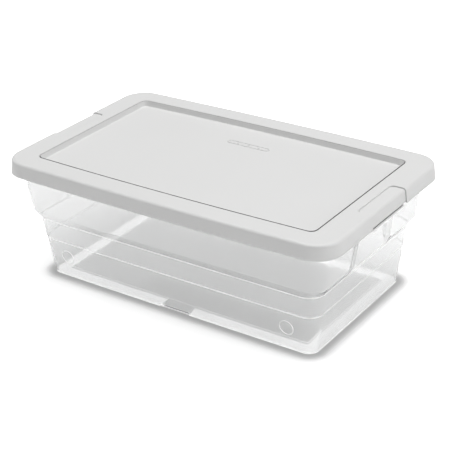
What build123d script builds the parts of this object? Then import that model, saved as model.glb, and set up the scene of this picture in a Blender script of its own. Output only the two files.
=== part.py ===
from build123d import *
import os
from math import atan, cos, sin

# A clear lidded shoe box: one moulded tub and one moulded press-fit lid, closed.
# Millimetres. +X along the length, +Y along the width, +Z up.
# The origin is the middle of the underside, on the surface that the box stands on.

# Overall size, closed
BOX_LENGTH = 346.0  # over the lid's skirt
BOX_WIDTH = 209.6  # over the lid's skirt, at the middle of its bowed long sides
BOX_HEIGHT = 119.0

# Lid
LID_WALL = 1.2
LID_BOW = 2.4  # how far a long side stands out past the chord between its corners
SKIRT_RADIUS = 24.0  # corner, seen from above
SKIRT_FLARE = 1.3  # each side, from the top edge down to the skirt's hem
SKIRT_DROP = 13.5
TOP_EDGE_RADIUS = 3.5
LEAST_EDGE_RADIUS = 1.0  # of the top edge's deepest inside copy, under the rim
BORDER_END = 27.0  # flat border, from the hem's outline to the sunk panel
BORDER_SIDE = 22.9
PANEL_DEPTH = 5.0
PANEL_TAPER = 1.3  # each side, from the panel's mouth to its floor
PANEL_RADIUS = 6.0

# Set-back tab in the middle of each short end of the lid
TAB_WIDTH = 59.0
TAB_REACH = 15.5  # from the hem's outline inwards
TAB_RADIUS = 5.0
TAB_STEP = 1.2  # how far the tab is set back into the lid's surface
TAB_LIFT = 1.0  # how far its hem stops above the rest of the skirt

# Plain badge outline on the panel, with no lettering
BADGE_LENGTH = 46.0
BADGE_WIDTH = 6.4
BADGE_LINE = 0.9
BADGE_HEIGHT = 0.5
BADGE_SETBACK = 32.5  # from the panel's far long side to the badge's middle
BADGE_DOTS = 3

# Tub
TUB_WALL = 1.2
TUB_BOW = 0.5
TOP_SETBACK_END = 9.8  # from the hem's outline to the wall at the rim
TOP_SETBACK_SIDE = 5.6
BOTTOM_RADIUS = 10.0  # corner, seen from above, at the bottom
RADIUS_GROWTH = 0.085  # more corner radius for each millimetre up
LEAST_RADIUS = 2.0  # of a corner inside the walls
LINE_HEIGHT = 38.0  # fine line round the lower wall
LINE_STEP = 0.5
LINE_RISE = 1.2
STEP_HEIGHT = 59.5  # bottom of the step round the wall
STEP_RISE = 8.5
STEP_OUT = 4.2

# Foot rails under the edge of the floor, parted at the middle of each long side
FOOT_HEIGHT = 1.6
FOOT_WIDTH = 13.5
FOOT_INSET = 0.5  # from the outline of the bottom to the rail
STACK_GAP = 0.7  # between the rails and the sunk panel of the lid that they stand in
FOOT_GAP = 28.0
FOOT_END_RADIUS = 2.5

# Round moulding marks low on the front wall, with no symbol in them
MARK_DIAMETER = 14.5
MARK_LINE = 0.9
MARK_PROUD = 0.4
MARK_SPACING = 240.0
MARK_HEIGHT = 22.5

# Rim, and the grip at each short end
RIM_DROP = 9.5  # from the rim's top to the edge of its turned-down flange
FIT_GAP = 0.4  # between the lid's inside and the rim
INDENT_TOP_WIDTH = 56.0
INDENT_FLARE = 5.0  # each side, wider at the step than under the lip
INDENT_RADIUS = 2.5
INDENT_LEAD = 1.0  # how far below the step the indents start, flush with the lower wall
LIP_THICKNESS = 1.9
LIP_SLOT = 2.3  # between the lip and the tab's hem, for a fingernail
LIP_SETBACK = 1.0  # from the skirt's hem outline to the lip's edge
LIP_RADIUS = 4.0

# Worked out from the sizes above
HEM_HEIGHT = BOX_HEIGHT - SKIRT_DROP
TAB_HEM_HEIGHT = HEM_HEIGHT + TAB_LIFT
CHORD_WIDTH = BOX_WIDTH - 2 * LID_BOW
LIP_TOP = TAB_HEM_HEIGHT - LIP_SLOT
LIP_BOTTOM = LIP_TOP - LIP_THICKNESS
STEP_TOP = STEP_HEIGHT + STEP_RISE
RIM_INSET = LID_WALL + FIT_GAP
RIM_TOP = BOX_HEIGHT - RIM_INSET
RIM_LOW = RIM_TOP - RIM_DROP
PANEL_FLOOR = BOX_HEIGHT - PANEL_DEPTH
PANEL_LENGTH = BOX_LENGTH - 2 * BORDER_END
PANEL_WIDTH = CHORD_WIDTH - 2 * BORDER_SIDE
FOOT_MARGIN = PANEL_TAPER + STACK_GAP - FOOT_INSET
TUB_BOTTOM_LENGTH = PANEL_LENGTH - 2 * FOOT_MARGIN
TUB_BOTTOM_WIDTH = PANEL_WIDTH - 2 * FOOT_MARGIN
TOP_LENGTH = BOX_LENGTH - 2 * TOP_SETBACK_END
TOP_WIDTH = CHORD_WIDTH - 2 * TOP_SETBACK_SIDE
STEPS = LINE_STEP + STEP_OUT
DRAFT_END = ((TOP_LENGTH - TUB_BOTTOM_LENGTH) / 2 - STEPS) / RIM_TOP
DRAFT_SIDE = ((TOP_WIDTH - TUB_BOTTOM_WIDTH) / 2 - STEPS) / RIM_TOP
ENDS = (1, -1)


def bowed_outline(length, chord_width, radius, bow):
    """A rounded rectangle whose long sides stand out by bow at their middle."""
    x = length / 2
    y = chord_width / 2
    with BuildSketch() as outline:
        with BuildLine():
            ThreePointArc((-x, -y), (0, -y - bow), (x, -y))
            Line((x, -y), (x, y))
            ThreePointArc((x, y), (0, y + bow), (-x, y))
            Line((-x, y), (-x, -y))
        make_face()
        fillet(outline.vertices(), radius)
    return outline.sketch


def skirt_outline(inset, flare):
    """The lid's outline seen from above, moved in by inset, at flare from its hem."""
    shrink = 2 * (inset + flare)
    radius = SKIRT_RADIUS - inset
    return bowed_outline(BOX_LENGTH - shrink, CHORD_WIDTH - shrink, radius, LID_BOW)


def tab_recess(inset):
    """What the two tabs are set back by, for the lid's shape moved in by inset."""
    reach = BOX_LENGTH / 2 - TAB_REACH - inset
    half_width = TAB_WIDTH / 2 + inset
    face = BOX_LENGTH / 2 - SKIRT_FLARE - TAB_STEP - inset
    with BuildPart() as recess:
        for end in ENDS:
            with BuildSketch(Plane.XY.offset(BOX_HEIGHT - TAB_STEP - inset)):
                with Locations((end * (reach + BOX_LENGTH / 2), 0)):
                    RectangleRounded(BOX_LENGTH, 2 * half_width, TAB_RADIUS)
            extrude(amount=BOX_HEIGHT)
            with BuildSketch(Plane.XZ.offset(-half_width)):
                with BuildLine():
                    Polyline(
                        (end * (face + SKIRT_FLARE), 0),
                        (end * (face + SKIRT_FLARE), HEM_HEIGHT),
                        (end * face, BOX_HEIGHT),
                        (end * BOX_LENGTH, BOX_HEIGHT),
                        (end * BOX_LENGTH, 0),
                        close=True,
                    )
                make_face()
            extrude(amount=2 * half_width)
    return recess.part


def lid_envelope(inset, low):
    """The lid's outside, moved in by inset all over, as a solid down to height low."""
    with BuildPart() as envelope:
        with BuildSketch(Plane.XY.offset(HEM_HEIGHT)):
            add(skirt_outline(inset, 0))
        with BuildSketch(Plane.XY.offset(BOX_HEIGHT - inset)):
            add(skirt_outline(inset, SKIRT_FLARE))
        loft(ruled=True)
        edge_radius = max(TOP_EDGE_RADIUS - inset, LEAST_EDGE_RADIUS)
        fillet(envelope.faces().sort_by(Axis.Z)[-1].edges(), edge_radius)
        if low > HEM_HEIGHT:
            split(bisect_by=Plane.XY.offset(low), keep=Keep.TOP)
        add(tab_recess(inset), mode=Mode.SUBTRACT)
    return envelope.part


def panel_block(grow, low, high):
    """The sunk panel's tapered block, larger by grow, between two heights."""
    length = PANEL_LENGTH + 2 * grow
    width = PANEL_WIDTH + 2 * grow
    with BuildPart() as block:
        with BuildSketch(Plane.XY.offset(low)):
            narrow = 2 * PANEL_TAPER
            add(bowed_outline(length - narrow, width - narrow, PANEL_RADIUS + grow, LID_BOW))
        with BuildSketch(Plane.XY.offset(high)):
            add(bowed_outline(length, width, PANEL_RADIUS + grow, LID_BOW))
        loft(ruled=True)
    return block.part


def wall_outline(height, inset):
    """The tub's wall outline at a height, moved in by inset."""
    out = -inset
    if height > LINE_HEIGHT:
        out += LINE_STEP
    if height >= STEP_TOP:
        out += STEP_OUT
    radius = max(BOTTOM_RADIUS + height * RADIUS_GROWTH - inset, LEAST_RADIUS)
    length = TUB_BOTTOM_LENGTH + 2 * (out + height * DRAFT_END)
    width = TUB_BOTTOM_WIDTH + 2 * (out + height * DRAFT_SIDE)
    return bowed_outline(length, width, radius, TUB_BOW)


def wall_block(inset, low, high):
    """Everything inside the tub's walls, moved in by inset, between two heights."""
    levels = [low, LINE_HEIGHT, LINE_HEIGHT + LINE_RISE, STEP_HEIGHT, STEP_TOP, high]
    with BuildPart() as block:
        for level in levels:
            with BuildSketch(Plane.XY.offset(level)):
                add(wall_outline(level, inset))
        loft(ruled=True)
    return block.part


def rim_shell():
    """The rim: a flat web and a turned-down flange, a fit gap inside the lid."""
    with BuildPart() as shell:
        add(lid_envelope(RIM_INSET, RIM_LOW))
        under_web = lid_envelope(RIM_INSET + TUB_WALL, RIM_LOW)
        mid_wall = wall_block(TUB_WALL / 2, FOOT_HEIGHT, BOX_HEIGHT)
        add(under_web - mid_wall, mode=Mode.SUBTRACT)
    return shell.part


def end_indents(grow):
    """The finger indents in the two end walls: the lower wall's face carried up."""
    low = STEP_HEIGHT - INDENT_LEAD
    high = LIP_TOP - grow
    top_half = INDENT_TOP_WIDTH / 2 + grow
    low_half = top_half + INDENT_FLARE
    with BuildPart() as indents:
        for end in ENDS:
            for height, half in ((low, low_half), (high, top_half)):
                face = TUB_BOTTOM_LENGTH / 2 + LINE_STEP + height * DRAFT_END - grow
                with BuildSketch(Plane.XY.offset(height)) as level:
                    with Locations((end * (face + BOX_LENGTH / 2), 0)):
                        RectangleRounded(BOX_LENGTH, 2 * half, INDENT_RADIUS)
            loft(ruled=True)
    return indents.part


def foot_rails(grow, low, high):
    """The two C-shaped rails under the floor's edge, moved in by grow on every side."""
    outer = FOOT_INSET + grow
    inner = FOOT_INSET + FOOT_WIDTH - grow
    with BuildPart() as rails:
        with BuildSketch(Plane.XY.offset(low)) as plan:
            add(wall_outline(0, outer))
            add(wall_outline(0, inner), mode=Mode.SUBTRACT)
            Rectangle(FOOT_GAP + 2 * grow, BOX_WIDTH, mode=Mode.SUBTRACT)
            near = FOOT_GAP / 2 + grow + FOOT_END_RADIUS
            fillet(plan.vertices().filter_by(lambda v: abs(v.X) < near), FOOT_END_RADIUS - grow / 2)
        extrude(amount=high - low)
    return rails.part


def front_marks():
    """Two plain rings standing a little proud of the front wall."""
    bow = TUB_BOW * (1 - (MARK_SPACING / TUB_BOTTOM_LENGTH) ** 2)
    out = TUB_BOTTOM_WIDTH / 2 + MARK_HEIGHT * DRAFT_SIDE + bow
    tilt = atan(DRAFT_SIDE)
    rings = []
    for x in (-MARK_SPACING / 2, MARK_SPACING / 2):
        root = (x, TUB_WALL / 2 - out, MARK_HEIGHT)
        face = Plane(origin=root, x_dir=(1, 0, 0), z_dir=(0, -cos(tilt), -sin(tilt)))
        with BuildPart() as ring:
            with BuildSketch(face):
                Circle(MARK_DIAMETER / 2)
                Circle(MARK_DIAMETER / 2 - MARK_LINE, mode=Mode.SUBTRACT)
            extrude(amount=TUB_WALL / 2 + MARK_PROUD)
        rings.append(ring.part)
    return rings


with BuildPart() as lid:
    add(lid_envelope(0, HEM_HEIGHT))
    add(lid_envelope(LID_WALL, HEM_HEIGHT), mode=Mode.SUBTRACT)
    with BuildSketch(Plane.XY.offset(HEM_HEIGHT)):
        with GridLocations(BOX_LENGTH, 0, 2, 1):
            Rectangle(2 * TAB_REACH, TAB_WIDTH)
    extrude(amount=TAB_LIFT, mode=Mode.SUBTRACT)
    add(panel_block(LID_WALL, PANEL_FLOOR - LID_WALL, BOX_HEIGHT - LID_WALL))
    add(panel_block(0, PANEL_FLOOR, BOX_HEIGHT), mode=Mode.SUBTRACT)
    badge_y = PANEL_WIDTH / 2 - BADGE_SETBACK
    with BuildSketch(Plane.XY.offset(PANEL_FLOOR)):
        with Locations((0, badge_y)):
            SlotOverall(BADGE_LENGTH, BADGE_WIDTH)
            SlotOverall(BADGE_LENGTH - 2 * BADGE_LINE, BADGE_WIDTH - 2 * BADGE_LINE, mode=Mode.SUBTRACT)
            with GridLocations(BADGE_LENGTH / (BADGE_DOTS + 1), 0, BADGE_DOTS, 1):
                Circle(BADGE_LINE)
    extrude(amount=BADGE_HEIGHT)

with BuildPart() as tub:
    add(wall_block(0, FOOT_HEIGHT, RIM_TOP - TUB_WALL / 2))
    add(tab_recess(RIM_INSET), mode=Mode.SUBTRACT)
    add(end_indents(0), mode=Mode.SUBTRACT)
    add(foot_rails(0, 0, FOOT_HEIGHT))
    add(front_marks())
    lip_edge = BOX_LENGTH / 2 - LIP_SETBACK
    with BuildSketch(Plane.XY.offset(LIP_BOTTOM)):
        RectangleRounded(2 * lip_edge, TAB_WIDTH, LIP_RADIUS)
    extrude(amount=LIP_THICKNESS)
    add(rim_shell())
    cavity = wall_block(TUB_WALL, FOOT_HEIGHT + TUB_WALL, BOX_HEIGHT) - end_indents(TUB_WALL)
    add(cavity, mode=Mode.SUBTRACT)
    add(foot_rails(TUB_WALL, TUB_WALL, FOOT_HEIGHT + TUB_WALL), mode=Mode.SUBTRACT)

os.makedirs("parts", exist_ok=True)
lid.part.label = "lid"
export_step(lid.part, "parts/lid.step")
tub.part.label = "tub"
export_step(tub.part, "parts/tub.step")
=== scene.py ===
import bpy
import numpy as np
from bpy.props import FloatProperty, FloatVectorProperty, PointerProperty
from mathutils import Matrix, Vector


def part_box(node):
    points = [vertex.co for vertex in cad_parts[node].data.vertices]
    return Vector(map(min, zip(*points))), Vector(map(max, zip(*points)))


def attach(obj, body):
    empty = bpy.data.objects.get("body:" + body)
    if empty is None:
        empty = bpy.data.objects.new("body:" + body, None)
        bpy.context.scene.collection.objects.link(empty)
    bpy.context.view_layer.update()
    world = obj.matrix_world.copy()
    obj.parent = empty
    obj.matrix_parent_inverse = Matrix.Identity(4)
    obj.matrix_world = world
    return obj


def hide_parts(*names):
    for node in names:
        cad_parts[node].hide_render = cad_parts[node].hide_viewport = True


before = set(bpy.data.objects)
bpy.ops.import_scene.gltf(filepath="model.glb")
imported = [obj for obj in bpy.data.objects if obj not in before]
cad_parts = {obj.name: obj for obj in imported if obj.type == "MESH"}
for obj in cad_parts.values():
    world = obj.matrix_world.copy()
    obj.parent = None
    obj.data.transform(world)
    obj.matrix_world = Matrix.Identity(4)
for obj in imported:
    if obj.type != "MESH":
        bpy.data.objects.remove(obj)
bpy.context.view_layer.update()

bl_info = {
    "name": "Clear Lidded Shoe Box",
    "version": (1, 0, 0),
    "blender": (4, 5, 0),
    "location": "View3D > Sidebar > Shoe Box",
    "description": "Builds the moulded tub and press-fit lid of a clear shoe box on its CAD frame",
    "category": "Object",
}

MM = 0.001
LID_LOW, LID_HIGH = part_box("lid")
_, TUB_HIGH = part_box("tub")
CORNER_STEPS = 14  # faces round a quarter corner, seen from above
ARC_STEPS = 5  # faces round a bend of a cross-section
TAB_STEPS = 14  # faces round an inner corner of the lid's tab
TAB_SOFT = 0.7 * MM  # across the soft edge of the lid's tab
GRIP_COLUMNS = 4  # columns over the flat middle of a tab or an indent
END_COLUMNS = 4  # columns from a short side's fixed ones to the corner
SIDE_COLUMNS = 9  # columns from the corner to a long side's fixed ones
PLASTIC_IOR = 1.49


def length(name, description, default):
    """A size in metres."""
    return FloatProperty(
        name=name, description=description, default=default, unit="LENGTH", subtype="DISTANCE"
    )


def colour(name, description, default):
    """A colour as linear red, green and blue."""
    return FloatVectorProperty(
        name=name, description=description, default=default, size=3, min=0, max=1,
        subtype="COLOR",
    )


def angle(name, description, degrees):
    """An angle, given in degrees and kept in radians."""
    return FloatProperty(
        name=name, description=description, default=np.radians(degrees), subtype="ANGLE"
    )


def number(name, description, default, **limits):
    """A share, a power in watts or another plain number."""
    return FloatProperty(name=name, description=description, default=default, **limits)


class LidSizes(bpy.types.PropertyGroup):
    """Sizes of the press-fit lid."""

    length: length("Length", "Over the skirt's hem", LID_HIGH.x - LID_LOW.x)
    width: length("Width", "Over the hem at the bow's middle", LID_HIGH.y - LID_LOW.y)
    top: length("Top", "Height of the border above the ground", LID_HIGH.z)
    hem: length("Hem", "Height of the skirt's hem above the ground", LID_LOW.z)
    wall: length("Wall", "Thickness of the moulding", 1.2 * MM)
    bow: length("Bow", "How far a long side stands past its corners", 2.4 * MM)
    corner: length("Corner", "Radius of the skirt seen from above", 24 * MM)
    flare: length("Flare", "How much wider the hem is than the top, each side", 1.3 * MM)
    edge: length("Top edge", "Radius between the border and the skirt", 3.5 * MM)
    border_end: length("End border", "From the hem to the panel at the short ends", 27 * MM)
    border_side: length("Side border", "From the hem to the panel at the long sides", 22.9 * MM)
    panel_depth: length("Panel depth", "How far the panel is sunk below the border", 5 * MM)
    panel_taper: length("Panel taper", "From the mouth's edge in to the panel's", 1.3 * MM)
    panel_corner: length("Panel corner", "Radius of the panel seen from above", 6 * MM)
    groove_lip: length("Groove lip", "From the panel's mouth to the fine groove round it", 0.3 * MM)
    groove_width: length("Groove width", "Across the fine groove", 0.9 * MM)
    groove_depth: length("Groove depth", "Of the fine groove", 0.7 * MM)
    tab_width: length("Tab width", "Across the tab", 59 * MM)
    tab_reach: length("Tab reach", "From the hem's outline to the tab's inner line", 15.5 * MM)
    tab_corner: length("Tab corner", "Radius of the tab's inner corners", 5 * MM)
    tab_step: length("Tab step", "How far the tab is set back into the lid", 1.2 * MM)
    tab_lift: length("Tab lift", "How far its hem stops above the skirt's", 1 * MM)


class BadgeSizes(bpy.types.PropertyGroup):
    """Sizes of the plain raised badge on the panel."""

    length: length("Length", "Over the outline", 46 * MM)
    width: length("Width", "Over the outline", 6.4 * MM)
    line: length("Line", "Width of the raised line", 0.9 * MM)
    height: length("Height", "How far the line stands up", 0.5 * MM)
    setback: length("Setback", "From the panel's far side to the badge's middle", 32.5 * MM)
    dot: length("Dot", "Radius of a dot", 0.9 * MM)
    # Strength of the painted shade at the foot of the raised line and dots.
    shade: number("Shade", "How dark the foot of the raised line is", 0.45, min=0, max=1)


class TubSizes(bpy.types.PropertyGroup):
    """Sizes of the clear tub."""

    bottom_length: length("Bottom length", "Of the outline at the ground", 289 * MM)
    bottom_width: length("Bottom width", "Of the outline at the ground", 156 * MM)
    top_length: length("Top length", "Of the outline at the rim", 326.4 * MM)
    top_width: length("Top width", "Of the outline at the rim", 193.6 * MM)
    rim: length("Rim", "Height of the rim's flat web", TUB_HIGH.z)
    wall: length("Wall", "Thickness of the moulding", 1.2 * MM)
    bow: length("Bow", "How far a long wall stands past its corners", 0.5 * MM)
    corner: length("Corner", "Radius seen from above, at the ground", 10 * MM)
    corner_growth: number("Corner growth", "More radius for each unit of height", 0.085)
    line_height: length("Line height", "Height of the fine line round the wall", 38 * MM)
    line_step: length("Line step", "How far the wall stands out above the line", 0.5 * MM)
    line_rise: length("Line rise", "Height taken by the fine line", 1.2 * MM)
    step_height: length("Step height", "Height of the shoulder's lower edge", 59.5 * MM)
    step_rise: length("Step rise", "Height taken by the shoulder", 8.5 * MM)
    step_out: length("Step out", "How far the wall stands out above the shoulder", 4.2 * MM)
    foot_height: length("Foot height", "How far the rails stand below the floor", 1.6 * MM)
    foot_inset: length("Foot inset", "From the wall's outline to a rail", 0.5 * MM)
    foot_width: length("Foot width", "Across a rail", 13.5 * MM)
    foot_gap: length("Foot gap", "Between the rails at the middle of a long side", 28 * MM)
    foot_end: length("Foot end", "Radius of a rail's ends", 2.5 * MM)
    flange: length("Flange", "From the rim's top to its turned-down edge", 9.5 * MM)
    fit: length("Fit", "Gap between the lid and the rim", 0.4 * MM)
    indent_top: length("Indent top", "Width of a finger indent under the lip", 56 * MM)
    indent_flare: length("Indent flare", "How much wider it is at the shoulder, each side", 5 * MM)
    indent_corner: length("Indent corner", "Radius between its floor and sides", 2.5 * MM)
    lip_top: length("Lip top", "Height of the finger lip's upper face", 104.2 * MM)
    lip_thickness: length("Lip thickness", "Of the finger lip", 1.9 * MM)
    lip_setback: length("Lip setback", "From the lid's hem outline to the lip's edge", 1 * MM)
    lip_corner: length("Lip corner", "Radius of the lip's outer corners", 4 * MM)
    mark: length("Mark", "Diameter of a moulding mark on the front wall", 14.5 * MM)
    mark_line: length("Mark line", "Width of its raised line", 0.9 * MM)
    mark_proud: length("Mark proud", "How far its line stands out", 0.4 * MM)
    mark_spacing: length("Mark spacing", "Between the two marks", 240 * MM)
    mark_height: length("Mark height", "Height of the marks", 22.5 * MM)


class FinishSettings(bpy.types.PropertyGroup):
    """Colours of the two mouldings and the ground."""

    lid: colour("Lid", "Pale polypropylene", (0.71, 0.71, 0.706))
    tub: colour("Tub", "Clear polypropylene", (0.892, 0.895, 0.895))
    edge: colour("Edge", "Hazy polypropylene at bends and feet", (0.96, 0.96, 0.96))
    ground: colour("Ground", "Plain pale ground", (0.93, 0.93, 0.93))


class StageSettings(bpy.types.PropertyGroup):
    """Where the camera stands and how strong the light is."""

    azimuth: angle("Azimuth", "Camera's turn from the front", 35.345)
    elevation: angle("Elevation", "Camera's height as an angle", 26.985)
    roll: angle("Roll", "Camera's tilt about its own axis", -2.032)
    distance: length("Distance", "From the camera to its target", 1.126285)
    target: FloatVectorProperty(
        name="Target", description="What the camera looks at",
        default=(0.041915, -0.054243, 0.086906), size=3, subtype="TRANSLATION", unit="LENGTH",
    )
    lens: number("Lens", "Focal length in mm on a 36 mm sensor", 104.497)
    sky: number("Sky", "Strength of the even surrounding light", 0.27)
    top_light: number("Top light", "Overhead soft box in watts", 31)
    left_light: number("Left light", "Left-hand soft box in watts", 4)
    side_light: number("Side light", "Right-hand soft box in watts", 8)


def smooth(t):
    """Smoothstep: 3t^2 - 2t^3 with t held between 0 and 1."""
    t = np.clip(t, 0, 1)
    return t * t * (3 - 2 * t)


def column(values):
    """The values as a column, one to a row."""
    return np.asarray(values, float).reshape(-1, 1)


def rounded(knots, radii, marks=None):
    """Stations along a polyline whose inner corners are arcs.

    A knot is (half length, height, half width less half length, corner radius, bow). With unit
    legs d0 and d1 turning by t, a corner of radius R starts R*tan(t/2) before its knot, and its
    arc is start + R*(sin(s)*d0 + (1 - cos(s))*n) for s from 0 to t, with n square to d0 on the
    inside of the turn. The other three values go evenly from one end of the arc to the other.
    A station a little before and after each arc keeps the flat faces flat in the shading. A
    sixth value is the corner's mark on its arc and 0 elsewhere, and a seventh its number.
    """
    numbers = column(range(len(knots)))
    knots = np.hstack([np.asarray(knots, float), 0 * numbers, numbers])
    stations = [knots[:1]]
    marks = marks or [0] * len(radii)
    for before, knot, after, radius, mark in zip(knots[:-2], knots[1:-1], knots[2:], radii, marks):
        leg0 = np.linalg.norm((knot - before)[:2])
        leg1 = np.linalg.norm((after - knot)[:2])
        d0 = (knot - before)[:2] / leg0
        d1 = (after - knot)[:2] / leg1
        turn = np.arccos(np.clip(d0 @ d1, -1, 1))
        cut = radius * np.tan(turn / 2)
        start = knot + (before - knot) * cut / leg0
        end = knot + (after - knot) * cut / leg1
        side = (d1 - np.cos(turn) * d0) / np.sin(turn)
        s = column(np.linspace(0, turn, ARC_STEPS + 1))
        arc = start + (end - start) * s / turn
        arc[:, :2] = start[:2] + radius * (np.sin(s) * d0 + (1 - np.cos(s)) * side)
        lead = 0.3 * radius
        ahead = start - (knot - before) * lead / leg0
        beyond = end + (after - knot) * lead / leg1
        bend = np.vstack([ahead, arc, beyond])
        bend[:, 5:] = mark, knot[6]
        stations.append(bend)
    stations.append(knots[-1:])
    return np.vstack(stations)


def quarter(stations, fixed_y, fixed_x):
    """x and y of a quarter of a bowed, rounded rectangle at each station.

    It starts at the middle of the short side, goes up that side through the fixed y values and
    evenly to the corner, round the corner as (radius*cos, radius*sin), and back along the long
    side to x = 0. The bow adds bow*(1 - (x / half length)^2) to y.
    """
    a, _, gap, radius, bow = (column(v) for v in stations.T[:5])
    b = a + gap
    fixed_y = np.broadcast_to(fixed_y, (len(a), np.shape(fixed_y)[-1]))
    fixed_x = np.broadcast_to(fixed_x, (len(a), np.shape(fixed_x)[-1]))
    up = np.linspace(0, 1, END_COLUMNS + 1)[1:]
    turn = np.linspace(0, np.pi / 2, CORNER_STEPS + 1)[1:]
    back = np.linspace(1, 0, SIDE_COLUMNS + 1)[1:-1]
    last_y, last_x = fixed_y[:, -1:], fixed_x[:, :1]
    y = np.hstack([
        fixed_y,
        last_y + (b - radius - last_y) * up,
        b - radius + radius * np.sin(turn),
        b + 0 * back,
        b + 0 * fixed_x,
    ])
    x = np.hstack([
        a + 0 * fixed_y,
        a + 0 * up,
        a - radius + radius * np.cos(turn),
        last_x + (a - radius - last_x) * back,
        fixed_x,
    ])
    return x, y + bow * (1 - (x / a) ** 2)


def whole(q, sign_x=1, sign_y=1):
    """A quarter's values carried round the other three, with the given signs past each axis."""
    return np.hstack([q, sign_x * q[:, -2::-1], sign_x * sign_y * q[:, 1:], sign_y * q[:, -2:0:-1]])


def grid_faces(rows, columns, close_rows=False):
    """Quads (i, j), (i+1, j), (i+1, j+1), (i, j+1) of a grid whose columns close on themselves."""
    strips = rows if close_rows else rows - 1
    i, j = np.meshgrid(np.arange(strips), np.arange(columns), indexing="ij")
    below, right = (i + 1) % rows, (j + 1) % columns
    corners = (i, j), (below, j), (below, right), (i, right)
    return np.stack([row * columns + at for row, at in corners], -1).reshape(-1, 4)


def mesh_object(name, points, faces, *materials, slots=None, marks=None):
    """A smooth-shaded object at the origin from points and a list of face arrays.

    Where there are several materials, slots says which each face takes. Marks, which are painted
    shade, are kept as a point attribute that the lid's material reads.
    """
    mesh = bpy.data.meshes.new(name)
    loops = np.concatenate([f.ravel() for f in faces])
    sizes = np.concatenate([np.full(len(f), f.shape[1]) for f in faces])
    mesh.vertices.add(len(points))
    mesh.vertices.foreach_set("co", np.asarray(points, np.float32).ravel())
    mesh.loops.add(len(loops))
    mesh.loops.foreach_set("vertex_index", loops.astype(np.int32))
    mesh.polygons.add(len(sizes))
    mesh.polygons.foreach_set("loop_start", (np.cumsum(sizes) - sizes).astype(np.int32))
    mesh.polygons.foreach_set("use_smooth", np.ones(len(sizes), bool))
    mesh.update(calc_edges=True)
    if mesh.validate():
        raise RuntimeError(f"{name} has broken faces")
    for material in materials:
        mesh.materials.append(material)
    if slots is not None:
        mesh.polygons.foreach_set("material_index", slots.astype(np.int32))
    if marks is not None:
        # The marks are painted shade: the lid's material darkens its colour by them.
        painted_shade = mesh.attributes.new("painted_shade", "FLOAT", "POINT")
        painted_shade.data.foreach_set("value", marks.astype(np.float32))
    obj = bpy.data.objects.new(name, mesh)
    bpy.context.scene.collection.objects.link(obj)
    return obj


def capped(x, y, z):
    """Points and faces of a closed skin: a grid of rings, with a fan to a pole at each end."""
    rows, columns = x.shape
    poles = [[x[k].mean(), y[k].mean(), z[k].mean()] for k in (0, -1)]
    points = np.vstack([np.stack([x, y, z], -1).reshape(-1, 3), poles])
    j = np.arange(columns)
    right = (j + 1) % columns
    first = np.stack([np.full(columns, rows * columns), j, right], -1)
    end = (rows - 1) * columns
    last = np.stack([np.full(columns, rows * columns + 1), end + right, end + j], -1)
    return points, [grid_faces(rows, columns), first, last]


def lid_knot(s, height, inset):
    """The skirt's outline moved in by inset, at a height on its flared face."""
    flare = s.flare * (height - s.hem) / (s.top - s.hem)
    chord = s.width / 2 - s.bow
    return [s.length / 2 - inset - flare, height, chord - s.length / 2, s.corner - inset, s.bow]


def panel_knot(s, narrow, height, grow):
    """The sunk panel's outline made larger by grow and smaller by narrow."""
    half = s.length / 2 - s.border_end + grow - narrow
    chord = s.width / 2 - s.bow - s.border_side + grow - narrow
    return [half, height, chord - half, s.panel_corner + grow, s.bow]


def tab_depth(s, x, y, inset):
    """How deep the tab is set back, from 0 to 1, over its soft edge.

    It is the smoothstep of the signed distance into a rounded rectangle that starts at the
    tab's inner line and has no outer end.
    """
    reach = s.length / 2 - s.tab_reach - inset
    side = s.tab_width / 2 + inset
    dx = reach + s.tab_corner - x
    dy = np.abs(y) - side + s.tab_corner
    outside = np.hypot(np.maximum(dx, 0), np.maximum(dy, 0)) + np.minimum(np.maximum(dx, dy), 0)
    return smooth((s.tab_corner - outside) / TAB_SOFT + 0.5)


def lid_sections(s, inset):
    """Stations of the lid's cross-section, up from the panel to the border and on to the hem.

    The fine groove beside the panel's mouth is on the outer skin only, which has no inset.
    """
    top, floor = s.top - inset, s.top - s.panel_depth - inset
    start = panel_knot(s, s.panel_taper + 12 * MM, floor, inset)
    foot = panel_knot(s, s.panel_taper, floor, inset)
    mouth = panel_knot(s, 0, top, inset)
    middle = panel_knot(s, -9 * MM, top, inset)
    shoulder = lid_knot(s, top, inset)
    hem = lid_knot(s, s.hem, inset)
    foot_bend, mouth_bend, groove_bend, far_bend = 0.9 * MM, 0.8 * MM, 0.12 * MM, 0.2 * MM
    if inset:
        inner_part = rounded([start, foot, mouth, middle], [foot_bend, mouth_bend])[:-1]
    else:
        near, far = s.groove_lip, s.groove_lip + s.groove_width
        sink, slope = 0.05 * MM, 0.1 * MM
        groove = [
            panel_knot(s, 0, top - sink, 0),
            panel_knot(s, -near, top - sink, 0),
            panel_knot(s, -near - slope, top - s.groove_depth, 0),
            panel_knot(s, -far + slope, top - s.groove_depth, 0),
            panel_knot(s, -far, top, 0),
        ]
        radii = [foot_bend, *[groove_bend] * 4, far_bend]
        # Marks of painted shade on the groove's arcs, darkest on its floor.
        marks = [0, 0, 1, 1, 0.25, 0]
        inner_part = rounded([start, foot, *groove, middle], radii, marks)[:-1]
    outer_part = rounded([middle, shoulder, hem], [s.edge - inset])[1:-1]
    down = column(np.linspace(0, 1, 5)[1:])
    skirt = outer_part[-1] + (np.array([*hem, 0, 0]) - outer_part[-1]) * down
    return inner_part, np.vstack([outer_part, skirt])


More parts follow.
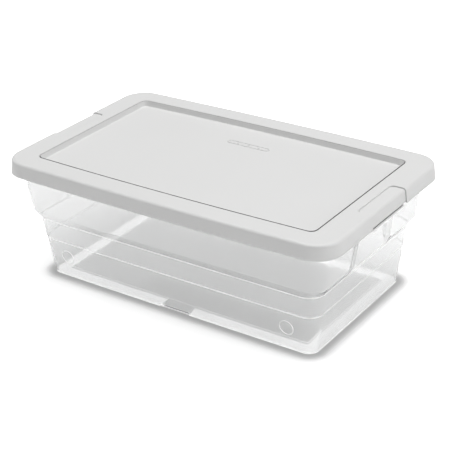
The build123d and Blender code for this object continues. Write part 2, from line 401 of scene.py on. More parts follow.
def lid_skin(s, inset):
    """One side of the lid from the panel to the hem, as quarter arrays x, y, z and painted shade.

    On the border the rows bend to run along the tab's line, which is straight over the tab's
    middle and goes round its corner as (reach + R*(1 - cos(u)), side - R*(1 - sin(u))). The tab
    then moves in along the section's normal by its step times tab_depth, and its hem lifts. The
    painted shade on the tab's line is d*(1 - d) for the depth d, and stronger beside the tab.
    """
    inner_part, outer_part = lid_sections(s, inset)
    reach = s.length / 2 - s.tab_reach - inset
    side = s.tab_width / 2 + inset
    turn = np.linspace(0, np.pi / 2, TAB_STEPS + 1)
    corner_x = reach + s.tab_corner * (1 - np.cos(turn))
    corner_y = side - s.tab_corner * (1 - np.sin(turn))
    middle_y = np.linspace(0, corner_y[0], GRIP_COLUMNS + 1)[:-1]
    past_y = side + np.array([0.12, 0.25, 0.38, 0.6, 1.2, 3, 7]) * MM
    fixed_y = np.concatenate([middle_y, corner_y, past_y])
    fixed_x = np.array([40, 20, 0]) * MM
    x1, y1 = quarter(inner_part, fixed_y, fixed_x)
    x2, y2 = quarter(outer_part, fixed_y, fixed_x)

    a0, a1 = inner_part[-1, 0], outer_part[0, 0]
    line = np.full(x1.shape[1], reach + 2 * MM)
    line[:len(fixed_y)] = np.concatenate([0 * middle_y + reach, corner_x, 0 * past_y + a1])
    line = np.minimum(line, a1 - TAB_SOFT)
    t = (line - a0) / (a1 - a0)
    h = 0.6 * TAB_SOFT / (a1 - a0)
    share = np.vstack([
        column(np.linspace(0, 1, 6)[1:]) * (t - h),
        t + column(np.linspace(-1, 1, 8)[1:]) * h,
        t + h + (1 - t - h) * column(np.linspace(0, 1, 6)[1:-1]),
    ])
    x = np.vstack([x1, x1[-1] + (x2[0] - x1[-1]) * share, x2])
    y = np.vstack([y1, y1[-1] + (y2[0] - y1[-1]) * share, y2])

    top = s.top - inset
    border_x = np.linspace(a0, a1, len(share) + 2)[1:-1]
    border = np.stack([border_x, 0 * border_x + top], -1)
    section = np.vstack([inner_part[:, :2], border, outer_part[:, :2]])
    along = np.gradient(section, axis=0)
    along /= np.linalg.norm(along, axis=1, keepdims=True)
    set_back = tab_depth(s, x, y, inset)
    depth = s.tab_step * set_back
    z = column(section[:, 1]) + 0 * x
    lift = s.tab_lift * set_back * np.clip((top - z) / (top - s.hem), 0, 1)
    x = x + along[:, 1:] * depth
    z = z - along[:, :1] * depth + lift

    # Painted shade in the groove and along the tab's line, darkening the lid's colour.
    groove_painted_shade = np.zeros((len(x), 1))
    groove_painted_shade[:len(inner_part), 0] = inner_part[:, 5]
    beside = smooth((np.abs(y) - side + s.tab_corner) / s.tab_corner)
    tab_line_painted_shade = (0.7 + 1.3 * beside) * set_back * (1 - set_back)
    return x, y, z, groove_painted_shade + tab_line_painted_shade


def build_lid(s, material):
    """The lid: its outer skin to the hem, and back along its inner skin to the middle."""
    outer = lid_skin(s, 0)
    inner = [v[::-1] for v in lid_skin(s, s.wall)]
    x, y, z, marks = (np.vstack(pair) for pair in zip(outer, inner))
    points, faces = capped(whole(x, -1, 1), whole(y, 1, -1), whole(z))
    marks = np.concatenate([whole(marks).ravel(), [0, 0]])
    return mesh_object("lid_shell", points, faces, material, marks=marks)


def raised_line(centre, up, outward, width, height, root):
    """A raised line along a closed path: centre + outward*w + up*h over a half-round section.

    The section is w = width/2*cos(s), h = height*sin(s), with its lower half sunk by root.
    """
    s = np.linspace(0, 2 * np.pi, 13)[:-1]
    w = width / 2 * np.cos(s)
    h = np.where(np.sin(s) > 0, height, root) * np.sin(s)
    points = centre[None] + outward[None] * w[:, None, None] + up * h[:, None, None]
    return points.reshape(-1, 3), grid_faces(len(s), len(centre), close_rows=True)


def stadium(length_over, width_over, line):
    """Path and outward direction of a stadium: two half circles joined by straight sides."""
    radius = (width_over - line) / 2
    half = (length_over - line) / 2 - radius
    points = 17
    turn = np.radians(np.concatenate([np.linspace(-90, 90, points), np.linspace(90, 270, points)]))
    outward = np.stack([np.cos(turn), np.sin(turn), 0 * turn], -1)
    middle = column(np.repeat([half, -half], points)) * np.array([1, 0, 0])
    return middle + radius * outward, outward


def dome(centre, radius, height, root):
    """A dome as rings: radius*sin(s) out and height*cos(s) up, closed below by a flat root."""
    s = np.linspace(0, np.pi / 2, 7)[1:]
    r = np.concatenate([radius * np.sin(s), [radius, radius * 0.5]])
    h = np.concatenate([height * np.cos(s), [-root, -root]])
    turn = np.linspace(0, 2 * np.pi, 25)[:-1]
    x = centre[0] + column(r) * np.cos(turn)
    y = centre[1] + column(r) * np.sin(turn)
    return capped(x, y, centre[2] + column(h) + 0 * x)


def joined(parts):
    """Several point and face sets as one."""
    points, faces, start = [], [], 0
    for part_points, part_faces in parts:
        points.append(part_points)
        faces += [f + start for f in part_faces]
        start += len(part_points)
    return np.vstack(points), faces


def build_badge(lid, s, material):
    """A raised stadium outline with a row of dots, on the panel."""
    floor = lid.top - lid.panel_depth
    y = lid.width / 2 - lid.bow - lid.border_side - s.setback
    root = 0.4 * MM
    path, outward = stadium(s.length, s.width, s.line)
    middle = np.array([0, y, floor])
    up = np.array([0, 0, 1.0])
    points, faces = raised_line(path + middle, up, outward, s.line, s.height, root)
    parts = [(points, [faces])]
    for place in (-1, 0, 1):
        parts.append(dome(middle + [place * s.length / 4, 0, 0], s.dot, s.height, root))
    points, faces = joined(parts)
    # Painted shade: darker towards the foot of the raised line and dots.
    marks = s.shade * smooth((floor + s.height - points[:, 2]) / s.height)
    return mesh_object("panel_badge", points, faces, material, marks=marks)


def drafts(s):
    """How far the tub's end and side walls lean out for each unit of height, less their steps."""
    steps = s.line_step + s.step_out
    end = ((s.top_length - s.bottom_length) / 2 - steps) / s.rim
    side = ((s.top_width - s.bottom_width) / 2 - steps) / s.rim
    return end, side


def wall_knot(s, height, out, inset):
    """The tub's wall outline at a height, stood out by out and moved in by inset."""
    draft_end, draft_side = drafts(s)
    half = s.bottom_length / 2 + out - inset + height * draft_end
    chord = s.bottom_width / 2 + out - inset + height * draft_side
    radius = max(s.corner + height * s.corner_growth - inset, 2 * MM)
    return [half, height, chord - half, radius, s.bow]


def tub_section(lid, s):
    """The tub's whole cross-section as stations, from under its floor round the rim to its floor.

    Each bend is a knot, its radius in millimetres and its mark, which is 1 where the plastic
    is hazy and has a painted glow.
    """
    line_top = s.line_height + s.line_rise
    step_top = s.step_height + s.step_rise
    full = s.line_step + s.step_out
    web_low = s.rim - s.wall
    flange_low = s.rim - s.flange
    fit = lid.wall + s.fit
    rail = s.foot_inset + s.foot_width
    slope, heel, middle = 0.3 * MM, 0.1 * MM, 34 * MM

    def at_floor(off, height):
        """The wall's outline at the ground moved in by off, at another height."""
        knot = wall_knot(s, 0, 0, off)
        knot[1] = height
        return knot

    bends = [
        (at_floor(rail + slope, s.foot_height), 0.4, 0),
        (at_floor(rail - slope, 0), 0.4, 1),
        (at_floor(heel, 0), 0.9, 1),
        (wall_knot(s, s.line_height, 0, 0), 0.3, 1),
        (wall_knot(s, line_top, s.line_step, 0), 0.3, 0),
        (wall_knot(s, s.step_height, s.line_step, 0), 1, 1),
        (wall_knot(s, step_top, full, 0), 1.8, 0),
        (wall_knot(s, web_low, full, 0), 0.8, 0),
        (lid_knot(lid, web_low, fit + s.wall), 0.8, 0),
        (lid_knot(lid, flange_low, fit + s.wall), 0.45, 1),
        (lid_knot(lid, flange_low, fit), 0.45, 1),
        (lid_knot(lid, s.rim, fit), 2, 0),
        (wall_knot(s, s.rim, full, s.wall), 2, 0),
        (wall_knot(s, step_top, full, s.wall), 1.8, 0),
        (wall_knot(s, s.step_height, s.line_step, s.wall), 1, 1),
        (wall_knot(s, line_top, s.line_step, s.wall), 0.3, 0),
        (wall_knot(s, s.line_height, 0, s.wall), 0.3, 0),
        (at_floor(s.wall + heel, s.wall), 0.7, 1),
        (at_floor(rail - s.wall - slope, s.wall), 0.4, 0),
        (at_floor(rail - s.wall + slope, s.wall + s.foot_height), 0.4, 1),
    ]
    knots, radii, marks = zip(*bends)
    start = at_floor(middle, s.foot_height)
    end = at_floor(middle, s.wall + s.foot_height)
    return rounded([start, *knots, end], [r * MM for r in radii], marks)


def tub_edge(lid, s, height):
    """Half the width at which the indent's side runs at a height, and the rim's notch above it."""
    top = s.lip_top - s.lip_thickness
    half = s.indent_top / 2
    notch = lid.tab_width / 2 + lid.wall + s.fit + 0.4 * MM
    heights = [s.step_height, top, s.lip_top, s.lip_top + 5 * MM]
    return np.interp(height, heights, [half + s.indent_flare, half, half, notch])


def densified(stations, gap):
    """Stations with even extra ones wherever two are further apart than gap."""
    steps = np.linalg.norm(np.diff(stations[:, :2], axis=0), axis=1)
    counts = np.maximum(np.ceil(steps / gap).astype(int), 1)
    between = [k + np.arange(n) / n for k, n in enumerate(counts)]
    at = np.concatenate([*between, [len(stations) - 1]])
    index = np.arange(len(stations))
    return np.stack([np.interp(at, index, v) for v in stations.T], -1)


def indent_edge(s):
    """Places across an indent's edge, from its side at 0, and how deep the indent is there.

    As shares of the step out, the floor turns into the side by 1 - c*(1 - cos(u)) and the side
    into the wall by r*(1 - sin(u)), for the two bends' radii c and r.
    """
    corner = np.linspace(0, np.pi / 2, 5)
    lap = np.linspace(0, np.pi / 2, 4)
    lap_radius = 0.8 * MM
    y = np.concatenate([
        [-3.4 * MM],
        s.indent_corner * (np.sin(corner) - 1),
        0.08 * MM + lap_radius * (1 - np.cos(lap)),
        [1.6 * MM, 5 * MM],
    ])
    depth = np.concatenate([
        [1],
        1 - s.indent_corner / s.step_out * (1 - np.cos(corner)),
        lap_radius / s.step_out * (1 - np.sin(lap)),
        [0, 0],
    ])
    return y, depth


def foot_gap(s, stations, inset, x):
    """Where the gap between the rails is open, and how far each station is lifted in it, 0 to 1.

    A rail ends at gap + R - sqrt(R^2 - b^2), where b is how far a station lies into the
    rounding of radius R. The wall's foot is lifted less and less up to 9 mm high.
    """
    height = column(stations[:, 1])
    off = s.bottom_length / 2 - column(stations[:, 0])
    radius = s.foot_end - inset / 2
    across = np.abs(off - s.foot_inset - s.foot_width / 2)
    bite = np.clip(across - s.foot_width / 2 + inset + radius, 0, radius)
    rail_end = s.foot_gap / 2 + inset + radius - np.sqrt(radius**2 - bite**2)
    opened = smooth((rail_end - x) / (0.7 * MM) + 0.5)
    floor_lift = np.clip(1 - (height - inset) / s.foot_height, 0, 1)
    wall_lift = np.clip(1 - (height - inset) / (9 * MM), 0, 1)
    low = (height < 12 * MM) * (off > -3 * MM)
    return opened, np.where(off > 1 * MM + inset, floor_lift, wall_lift) * low


def tub_slots(s, stations, inner, opened):
    """The material of each face: 1 at hazy bends and the fine line, 2 on the rails, 0 elsewhere.
    Both 1 and 2 are hazy with a painted glow.
    """
    bent = (stations[:-1, 5] > 0) & (stations[:-1, 6] == stations[1:, 6])
    above_line = np.abs(stations[:, 1] - s.line_height - s.line_rise / 2)
    on_line = above_line < 0.5 * s.line_rise + 0.05 * MM
    bent |= on_line[:-1] & on_line[1:]
    above_rail = np.abs(stations[:, 1] - np.where(inner, s.wall, 0))
    on_rail = (above_rail < 0.1 * MM) & (stations[:, 1] < s.foot_height)
    closed = whole(opened)[:-1] < 0.5
    rails = column(on_rail[:-1] & on_rail[1:]) * closed
    slots = np.where(column(bent), 1, np.where(rails, 2, 0))
    return np.concatenate([slots.ravel(), np.zeros(2 * closed.shape[1])])


def build_tub(lid, s, *materials):
    """The tub: the section carried round its outline, then the indents, foot gaps and rim notch.

    In an indent the wall's half length falls back to the lower wall's face carried up. Between
    the rails the underside is lifted to the floor's height. Under a lid's tab the rim drops and
    moves in by the tab's step.
    """
    widest_gap = 7 * MM
    stations = densified(tub_section(lid, s), widest_gap)
    half = column(stations[:, 0])
    height = column(stations[:, 1])
    inner = np.arange(len(stations)) > np.argmax(half)
    inset = column(np.where(inner, s.wall, 0))

    edge_y, edge_depth = indent_edge(s)
    edge = tub_edge(lid, s, height) + inset
    floor_y = (edge - 5 * MM) * np.linspace(0, 1, GRIP_COLUMNS + 1)[:-1]
    fixed_y = np.hstack([floor_y, edge + edge_y])
    before = np.array([26, 12, 5.5, 4.4, 3.8, 3.3, 2.9, 2.5, 2.1, 1.7, 1.3, 0.9, 0.5, 0.1])
    after = np.array([-0.3, -0.7, -1.2, -4, -8, -14])
    fixed_x = s.foot_gap / 2 + np.concatenate([before, after]) * MM
    x, y = quarter(stations, fixed_y, fixed_x)
    z = height + 0 * x
    grip = slice(0, fixed_y.shape[1])

    draft_end, _ = drafts(s)
    lower_wall = s.bottom_length / 2 + s.line_step + height * draft_end - inset
    roof = s.lip_top - 0.4 * MM
    in_indent = (height > s.step_height - 1 * MM) * smooth((roof - height) / (1 * MM))
    depth = np.concatenate([np.ones(GRIP_COLUMNS), edge_depth])
    x[:, grip] -= np.maximum(half - lower_wall, 0) * in_indent * depth

    opened, lift = foot_gap(s, stations, inset, x)
    opened[:, :fixed_y.shape[1] + END_COLUMNS + CORNER_STEPS] = 0
    z = z + s.foot_height * lift * opened

    edge_notch = smooth((0.35 * MM - edge_y) / (0.7 * MM))
    notch = np.concatenate([np.ones(GRIP_COLUMNS), edge_notch])
    upper = smooth((height - s.rim + s.flange) / (5 * MM))
    outward = smooth((half - half.max() + 7 * MM) / (4 * MM))
    outward = outward * (height > s.rim - s.flange - 1 * MM)
    z[:, grip] -= lid.tab_step * upper * notch
    x[:, grip] -= lid.tab_step * outward * notch

    points, faces = capped(whole(x, -1, 1), whole(y, 1, -1), whole(z))
    faces = [f[:, ::-1] for f in faces]
    slots = tub_slots(s, stations, inner, opened)
    return mesh_object("tub_shell", points, faces, *materials, slots=slots)


def lip_plan(lid, s):
    """The right-hand finger lip's outline seen from above, and where the wall stands in it.

    The outline starts inside the indent's floor, widens by a smoothstep through the wall, and
    goes round its outer corners as (R*cos(u), R*sin(u)). The other half is its mirror in y.
    """
    draft_end, _ = drafts(s)
    face = s.bottom_length / 2 + s.line_step + s.lip_top * draft_end
    root = face - 0.7 * MM
    wall = face + s.step_out
    edge = lid.length / 2 - s.lip_setback
    wide = lid.tab_width / 2
    narrow = s.indent_top / 2 + 0.6 * MM
    turn = np.linspace(np.pi / 2, 0, 9)
    tip_y = np.linspace(wide - s.lip_corner, 0, 6)[1:]
    back_y = np.linspace(-narrow, narrow, 8)[1:-1]
    half_x = np.concatenate([
        [root, root + 2 * MM],
        wall + np.linspace(-0.7, 0.3, 5) * MM,
        edge - s.lip_corner + s.lip_corner * np.cos(turn),
        edge + 0 * tip_y,
    ])
    half_y = np.concatenate([
        [narrow, narrow],
        narrow + (wide - narrow) * smooth(np.linspace(0, 1, 5)),
        wide - s.lip_corner + s.lip_corner * np.sin(turn),
        tip_y,
    ])
    plan_x = np.concatenate([half_x, half_x[-2::-1], root + 0 * back_y])
    plan_y = np.concatenate([half_y, -half_y[-2::-1], back_y])
    return plan_x[::-1], plan_y[::-1], wall


def build_lips(lid, s, *materials):
    """The finger lip at each short end: a plate with half-round edges.

    Each ring is the plan moved in by t/2*(1 - sin(u)) at the height t/2*cos(u), and the first
    and last are moved in further by the width of a flat strip. The round edge is hazy with a
    painted glow, and the upper strip has painted shade where it stands outside the wall.
    """
    plan_x, plan_y, wall = lip_plan(lid, s)
    plan = np.stack([plan_x, plan_y], -1)
    run = np.roll(plan, -1, 0) - np.roll(plan, 1, 0)
    run /= np.linalg.norm(run, axis=1, keepdims=True)
    half = s.lip_thickness / 2
    u = np.concatenate([[0], np.linspace(0, np.pi, 9), [np.pi]])
    tuck = half * (1 - np.sin(u))
    strip = 2.6 * MM
    tuck[[0, -1]] += strip
    x = plan_x - column(tuck) * run[:, 1]
    y = plan_y + column(tuck) * run[:, 0]
    z = s.lip_top - half + column(half * np.cos(u)) + 0 * x
    right = capped(x, y, z)
    left = capped(-x[:, ::-1], y[:, ::-1], z)
    points, faces = joined([right, left])
    slots = []
    for run_x in (plan_x, plan_x[::-1]):
        outside = np.minimum(run_x, np.roll(run_x, -1)) > wall + 1 * MM
        rings = np.ones((len(u) - 1, len(run_x)))
        # Slot 2 is the painted shade on the upper strip outside the wall.
        rings[0] = np.where(outside, 2, 0)
        rings[-1] = 0
        slots += [rings.ravel(), np.zeros(2 * len(run_x))]
    return mesh_object("finger_lips", points, faces, *materials, slots=np.concatenate(slots))


def build_marks(s, material):
    """Two plain rings standing proud of the front wall, on its drafted and bowed face."""
    _, draft_side = drafts(s)
    tilt = np.arctan(draft_side)
    up_wall = np.array([0, -np.sin(tilt), np.cos(tilt)])
    normal = np.array([0, -np.cos(tilt), -np.sin(tilt)])
    turn = column(np.linspace(0, 2 * np.pi, 49)[:-1])
    outward = np.cos(turn) * np.array([1.0, 0, 0]) + np.sin(turn) * up_wall
    root = 0.3 * MM
    parts = []
    for side in (-1, 1):
        x = side * s.mark_spacing / 2
        bow = s.bow * (1 - (2 * x / s.bottom_length) ** 2)
        out = s.bottom_width / 2 + s.mark_height * draft_side + bow
        centre = np.array([x, -out, s.mark_height]) + outward * (s.mark - s.mark_line) / 2
        points, faces = raised_line(centre, normal, outward, s.mark_line, s.mark_proud, root)
        parts.append((points, [faces]))
    points, faces = joined(parts)
    return mesh_object("front_marks", points, faces, material)


def fill(made, values):
    """Set a node's socket defaults, and its settings where no socket has the name."""
    for key, value in values.items():
        if key in made.inputs:
            made.inputs[key].default_value = value
        else:
            setattr(made, key, value)


def node(tree, kind, *sources, **values):
    """A node with the given defaults and settings, its first inputs linked to the sources."""
    made = tree.nodes.new(kind)
    fill(made, values)
    for source, socket in zip(sources, made.inputs):
        tree.links.new(source, socket)
    return made


def grain_group(name):
    """A shader node group: fine moulded grain and slow cloudiness in object space."""
    group = bpy.data.node_groups.new(name, "ShaderNodeTree")
    for kind, names in (("INPUT", ("Grain Scale", "Cloud Scale")), ("OUTPUT", ("Grain", "Cloud"))):
        for socket in names:
            group.interface.new_socket(socket, in_out=kind, socket_type="NodeSocketFloat")
    enter = node(group, "NodeGroupInput")
    leave = node(group, "NodeGroupOutput")
    place = node(group, "ShaderNodeTexCoord").outputs["Object"]
    fine = node(group, "ShaderNodeTexNoise", place, Detail=3.0, Roughness=0.6)
    cloud = node(group, "ShaderNodeTexNoise", place, Detail=2.0, Roughness=0.5)
    group.links.new(enter.outputs["Grain Scale"], fine.inputs["Scale"])
    group.links.new(enter.outputs["Cloud Scale"], cloud.inputs["Scale"])
    group.links.new(fine.outputs["Fac"], leave.inputs["Grain"])
    group.links.new(cloud.outputs["Fac"], leave.inputs["Cloud"])
    return group


def shared(name, make, *values):
    """The material or node group of that name, made the first time it is asked for."""
    for store in (bpy.data.materials, bpy.data.node_groups):
        if name in store:
            return store[name]
    return make(name, *values)


def ranged(tree, value, from_low, from_high, low, high, blend="LINEAR"):
    """The value carried from one range to another, and held at its ends."""
    ends = {"From Min": from_low, "From Max": from_high, "To Min": low, "To Max": high}
    made = node(tree, "ShaderNodeMapRange", value, interpolation_type=blend, **ends)
    return made.outputs["Result"]


def spread(tree, value, low, high):
    """The value carried from 0..1 to low..high."""
    return ranged(tree, value, 0, 1, low, high)


def multiplied(tree, value, other):
    """One value times the other."""
    return node(tree, "ShaderNodeMath", value, other, operation="MULTIPLY").outputs["Value"]


def darkened(tree, pale, dark, share):
    """A changing colour mixed towards a dark one by a share that changes over the surface."""
    mix = node(tree, "ShaderNodeMix", share, data_type="RGBA", B=(*dark, 1))
    tree.links.new(pale, mix.inputs["A"])
    return mix.outputs["Result"]


def seen_strength(tree, low, high):
    """High where the camera looks, straight or through clear plastic, and low for other light."""
    path = node(tree, "ShaderNodeLightPath").outputs
    rays = path["Is Camera Ray"], path["Is Transmission Ray"]
    either = node(tree, "ShaderNodeMath", *rays, operation="MAXIMUM")
    return spread(tree, either.outputs["Value"], low, high)


def clouded_material(name, tint, low, high, grain_scale, cloud_scale):
    """A new material whose colour drifts slowly from low to high times the tint.

    Returns the material, its tree and shader, the grain's outputs and the drifting colour,
    which is already linked to Base Color.
    """
    material = bpy.data.materials.new(name)
    material.use_nodes = True
    tree = material.node_tree
    shader = tree.nodes["Principled BSDF"]
    group = shared("moulded_grain", grain_group)
    scales = {"Grain Scale": grain_scale, "Cloud Scale": cloud_scale}
    grain = node(tree, "ShaderNodeGroup", node_tree=group, **scales).outputs
    ends = {"A": (*[low * c for c in tint], 1), "B": (*[high * c for c in tint], 1)}
    mix = node(tree, "ShaderNodeMix", grain["Cloud"], data_type="RGBA", **ends)
    tree.links.new(mix.outputs["Result"], shader.inputs["Base Color"])
    return material, tree, shader, grain, mix.outputs["Result"]


def lid_material(name, tint):
    """Pale satin polypropylene with a fine spark-eroded grain, and painted shade where it is
    marked.
    """
    material, tree, shader, grain, drift = clouded_material(name, tint, 0.985, 1.015, 1400, 9)
    # Painted shade: marked points go towards a tenth of the tint, in the groove, tab line and badge
    # foot.
    painted_shade = node(tree, "ShaderNodeAttribute", attribute_name="painted_shade")
    with_painted_shade = darkened(tree, drift, [0.1 * c for c in tint], painted_shade.outputs["Fac"])
    tree.links.new(with_painted_shade, shader.inputs["Base Color"])
    tree.links.new(spread(tree, grain["Grain"], 0.38, 0.52), shader.inputs["Roughness"])
    bump = node(tree, "ShaderNodeBump", Strength=0.25, Distance=0.06 * MM)
    tree.links.new(grain["Grain"], bump.inputs["Height"])
    tree.links.new(bump.outputs["Normal"], shader.inputs["Normal"])
    fill(shader, {"IOR": PLASTIC_IOR})
    return material


def tub_material(name, tint):
    """Clear polypropylene: mostly transmitting, with a slight milky haze and a faint shadow."""
    material, tree, shader, grain, _ = clouded_material(name, tint, 0.99, 1, 500, 14)
    tree.links.new(spread(tree, grain["Cloud"], 0.05, 0.11), shader.inputs["Roughness"])
    fill(shader, {"Transmission Weight": 0.9, "IOR": PLASTIC_IOR})
    shadow = node(tree, "ShaderNodeLightPath").outputs["Is Shadow Ray"]
    clear = node(tree, "ShaderNodeBsdfTransparent", Color=(0.92, 0.92, 0.92, 1)).outputs["BSDF"]
    cast = node(tree, "ShaderNodeMixShader", shadow, shader.outputs["BSDF"], clear)
    tree.links.new(cast.outputs["Shader"], tree.nodes["Material Output"].inputs["Surface"])
    return material


def hazy_material(name, tint, clearness, glow):
    """The same plastic where it is thick or bent: hazier, with a painted glow from its emission."""
    material, tree, shader, grain, _ = clouded_material(name, tint, 0.97, 1, 700, 30)
    tree.links.new(spread(tree, grain["Grain"], 0.25, 0.4), shader.inputs["Roughness"])
    fill(shader, {"Transmission Weight": clearness, "IOR": PLASTIC_IOR})
    # Painted glow: the emission stands in for light gathered along bends, rails and lips' edges.
    fill(shader, {"Emission Color": (1, 1, 1, 1), "Emission Strength": glow})
    return material


def ground_material(name, tint, half_length, half_width, corner):
    """A plain pale sweep, evenly bright, with a contact shadow painted where the box stands on it.

    The painted contact shadow falls off with the distance out from a rounded rectangle, which is
    length(max(|p| - inner corner, 0)) - corner, and ends quickly under the box. It is thinner
    seen through the tub. The glow rises slowly with the same distance.
    """
    material, tree, shader, _, drift = clouded_material(name, tint, 0.995, 1, 900, 3)
    place = node(tree, "ShaderNodeTexCoord").outputs["Object"]
    folded = node(tree, "ShaderNodeVectorMath", place, operation="ABSOLUTE").outputs["Vector"]
    out = node(tree, "ShaderNodeVectorMath", folded, operation="SUBTRACT")
    out.inputs[1].default_value = (half_length - corner, half_width - corner, 0)
    kept = node(tree, "ShaderNodeVectorMath", out.outputs["Vector"], operation="MAXIMUM")
    away = node(tree, "ShaderNodeVectorMath", kept.outputs["Vector"], operation="LENGTH")
    distance = away.outputs["Value"]
    # Painted contact shadow: colour and glow darken near the tub's outline.
    near = ranged(tree, distance, corner + 1 * MM, corner + 15 * MM, 0.58, 0, "SMOOTHSTEP")
    under = ranged(tree, distance, corner - 2 * MM, corner, 0, 1, "SMOOTHSTEP")
    through = node(tree, "ShaderNodeLightPath").outputs["Is Transmission Ray"]
    thinned = spread(tree, through, 1, 0.3)
    shade = multiplied(tree, multiplied(tree, near, under), thinned)
    tree.links.new(darkened(tree, drift, (0, 0, 0), shade), shader.inputs["Base Color"])

    lit = node(tree, "ShaderNodeMath", operation="SUBTRACT")
    lit.inputs[0].default_value = 1
    tree.links.new(shade, lit.inputs[1])
    glow = ranged(tree, distance, 0.35, 2.2, 0.48, 0.78)
    seen = multiplied(tree, seen_strength(tree, 0.25, 1.0), glow)
    strength = multiplied(tree, seen, lit.outputs["Value"])
    tree.links.new(strength, shader.inputs["Emission Strength"])
    fill(shader, {"Emission Color": (1, 1, 1, 1), "Roughness": 0.7, "Specular IOR Level": 0.1})
    return material


def lid_finish(scene):
    """The lid's plastic."""
    return shared("lid_satin_pp", lid_material, scene.shoebox_finish.lid)


def tub_finish(scene):
    """The tub's flat walls."""
    return shared("tub_clear_pp", tub_material, scene.shoebox_finish.tub)


def edge_haze_painted_glow(scene):
    """Bends, the fine line and the lips' edges: hazier plastic with a painted glow."""
    return shared("tub_edge_pp", hazy_material, scene.shoebox_finish.edge, 0.45, 0.22)


def foot_haze_painted_glow(scene):
    """Foot rails and moulding marks: hazier plastic with a painted glow."""
    return shared("tub_foot_pp", hazy_material, scene.shoebox_finish.edge, 0.5, 0.2)


def slot_painted_shade(scene):
    """Painted shade: a dark strip on a lip's top, beside the slot under the lid, for the tab's
    shadow.
    """
    # The painted shade is a tint at 0.3 of the edge colour, with no glow.
    tint = [0.3 * c for c in scene.shoebox_finish.edge]
    return shared("tub_slot_pp", hazy_material, tint, 0.25, 0)


def soft_box(name, place, aim, size, power):
    """A square area light at a place, facing a point."""
    data = bpy.data.lights.new(name, "AREA")
    data.shape = "SQUARE"
    data.size = size
    data.energy = power
    obj = bpy.data.objects.new(name, data)
    bpy.context.scene.collection.objects.link(obj)
    obj.location = place
    obj.rotation_euler = (Vector(aim) - Vector(place)).to_track_quat("-Z", "Y").to_euler()


def camera_matrix(s):
    """The camera's place and turn, from its azimuth a, elevation e and roll.

    It stands at target + distance*away, where away is (sin a cos e, -cos a cos e, sin e). Its
    right (cos a, sin a, 0) and its up, away x right, are turned by the roll.
    """
    right = Vector((np.cos(s.azimuth), np.sin(s.azimuth), 0))
    level = np.cos(s.elevation)
    away = Vector((np.sin(s.azimuth) * level, -np.cos(s.azimuth) * level, np.sin(s.elevation)))
    up = away.cross(right)
    turned_right = np.cos(s.roll) * right + np.sin(s.roll) * up
    turned_up = np.cos(s.roll) * up - np.sin(s.roll) * right
    place = Vector(s.target) + s.distance * away
    rows = [(*row, p) for row, p in zip(zip(turned_right, turned_up, away), place)]
    return Matrix([*rows, (0, 0, 0, 1)])


class SHOEBOX_OT_stage(bpy.types.Operator):
    """Lay the pale ground and set the light and the camera"""

    bl_idname = "shoebox.stage"
    bl_label = "Stage"

    def execute(self, context):
        scene = context.scene
        s = scene.shoebox_stage
        tub = scene.shoebox_tub
        sizes = tub.bottom_length / 2, tub.bottom_width / 2, tub.corner
        finish = ground_material("pale_ground", scene.shoebox_finish.ground, *sizes)
        half_size = 6
        points = half_size * np.array([[-1, -1, 0], [1, -1, 0], [1, 1, 0], [-1, 1, 0]])
        ground = mesh_object("ground", points, [np.array([[0, 1, 2, 3]])], finish)
        scene.world = bpy.data.worlds.new("even_sky")
        scene.world.use_nodes = True
        sky = scene.world.node_tree
        back = sky.nodes["Background"]
        fill(back, {"Color": (1, 1, 1, 1)})
        sky.links.new(seen_strength(sky, s.sky, 1.0), back.inputs["Strength"])
        scene.view_settings.view_transform = "Standard"
        soft_box("top_soft_box", (0.1, 0.15, 1.9), (0, 0, 0), 1.8, s.top_light)
        soft_box("left_soft_box", (-1.6, -0.1, 0.9), (0, 0, 0.05), 1.0, s.left_light)
        soft_box("side_soft_box", (1.9, 0.2, 0.9), (0, 0, 0.05), 1.2, s.side_light)
        data = bpy.data.cameras.new("camera")
        data.sensor_width = 36
        data.lens = s.lens
        camera = bpy.data.objects.new("camera", data)
        scene.collection.objects.link(camera)
        camera.matrix_world = camera_matrix(s)
        scene.camera = camera
        return {"FINISHED"}


class SHOEBOX_OT_lid(bpy.types.Operator):
    """Make the lid with its sunk panel and end tabs"""

    bl_idname = "shoebox.lid"
    bl_label = "Lid"

    def execute(self, context):
        piece = build_lid(context.scene.shoebox_lid, lid_finish(context.scene))
        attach(piece, "lid")
        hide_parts("lid")
        return {"FINISHED"}


class SHOEBOX_OT_badge(bpy.types.Operator):
    """Make the plain raised badge on the lid's panel"""

    bl_idname = "shoebox.badge"
    bl_label = "Badge"

    def execute(self, context):
        scene = context.scene
        piece = build_badge(scene.shoebox_lid, scene.shoebox_badge, lid_finish(scene))
        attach(piece, "lid")
        return {"FINISHED"}


class SHOEBOX_OT_tub(bpy.types.Operator):
    """Make the clear tub with its rim, indents and foot rails"""

    bl_idname = "shoebox.tub"
    bl_label = "Tub"

    def execute(self, context):
        scene = context.scene
        materials = tub_finish(scene), edge_haze_painted_glow(scene), foot_haze_painted_glow(scene)
        piece = build_tub(scene.shoebox_lid, scene.shoebox_tub, *materials)
        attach(piece, "tub")
        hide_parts("tub")
        return {"FINISHED"}


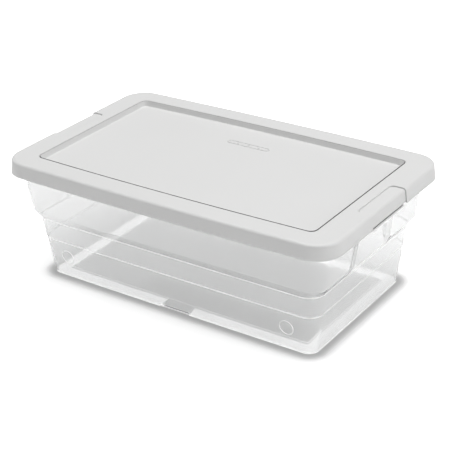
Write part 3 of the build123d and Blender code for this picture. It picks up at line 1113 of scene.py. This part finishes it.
class SHOEBOX_OT_lips(bpy.types.Operator):
    """Make the finger lip under each of the lid's tabs"""

    bl_idname = "shoebox.lips"
    bl_label = "Finger lips"

    def execute(self, context):
        scene = context.scene
        materials = tub_finish(scene), edge_haze_painted_glow(scene), slot_painted_shade(scene)
        piece = build_lips(scene.shoebox_lid, scene.shoebox_tub, *materials)
        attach(piece, "tub")
        return {"FINISHED"}


class SHOEBOX_OT_marks(bpy.types.Operator):
    """Make the plain moulding marks on the front wall"""

    bl_idname = "shoebox.marks"
    bl_label = "Moulding marks"

    def execute(self, context):
        scene = context.scene
        piece = build_marks(scene.shoebox_tub, foot_haze_painted_glow(scene))
        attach(piece, "tub")
        return {"FINISHED"}


class SHOEBOX_PT_panel(bpy.types.Panel):
    """Sizes, colours and the steps that build the box"""

    bl_idname = "SHOEBOX_PT_panel"
    bl_label = "Shoe Box"
    bl_space_type = "VIEW_3D"
    bl_region_type = "UI"
    bl_category = "Shoe Box"

    def draw(self, context):
        layout = self.layout
        for operator in OPERATORS:
            layout.operator(operator.bl_idname)
        for name, group in GROUPS:
            box = layout.box()
            box.label(text=group.__doc__.strip(". "))
            for key in group.__annotations__:
                box.prop(getattr(context.scene, name), key)


OPERATORS = (
    SHOEBOX_OT_stage, SHOEBOX_OT_lid, SHOEBOX_OT_badge,
    SHOEBOX_OT_tub, SHOEBOX_OT_lips, SHOEBOX_OT_marks,
)
GROUPS = (
    ("shoebox_lid", LidSizes),
    ("shoebox_badge", BadgeSizes),
    ("shoebox_tub", TubSizes),
    ("shoebox_finish", FinishSettings),
    ("shoebox_stage", StageSettings),
)
CLASSES = (*(group for _, group in GROUPS), *OPERATORS, SHOEBOX_PT_panel)


def register():
    for cls in CLASSES:
        bpy.utils.register_class(cls)
    for name, group in GROUPS:
        setattr(bpy.types.Scene, name, PointerProperty(type=group))


def unregister():
    for name, _ in GROUPS:
        delattr(bpy.types.Scene, name)
    for cls in reversed(CLASSES):
        bpy.utils.unregister_class(cls)


def main():
    register()
    bpy.ops.shoebox.stage()
    bpy.ops.shoebox.lid()
    bpy.ops.shoebox.badge()
    bpy.ops.shoebox.tub()
    bpy.ops.shoebox.lips()
    bpy.ops.shoebox.marks()


if __name__ == "__main__":
    main()
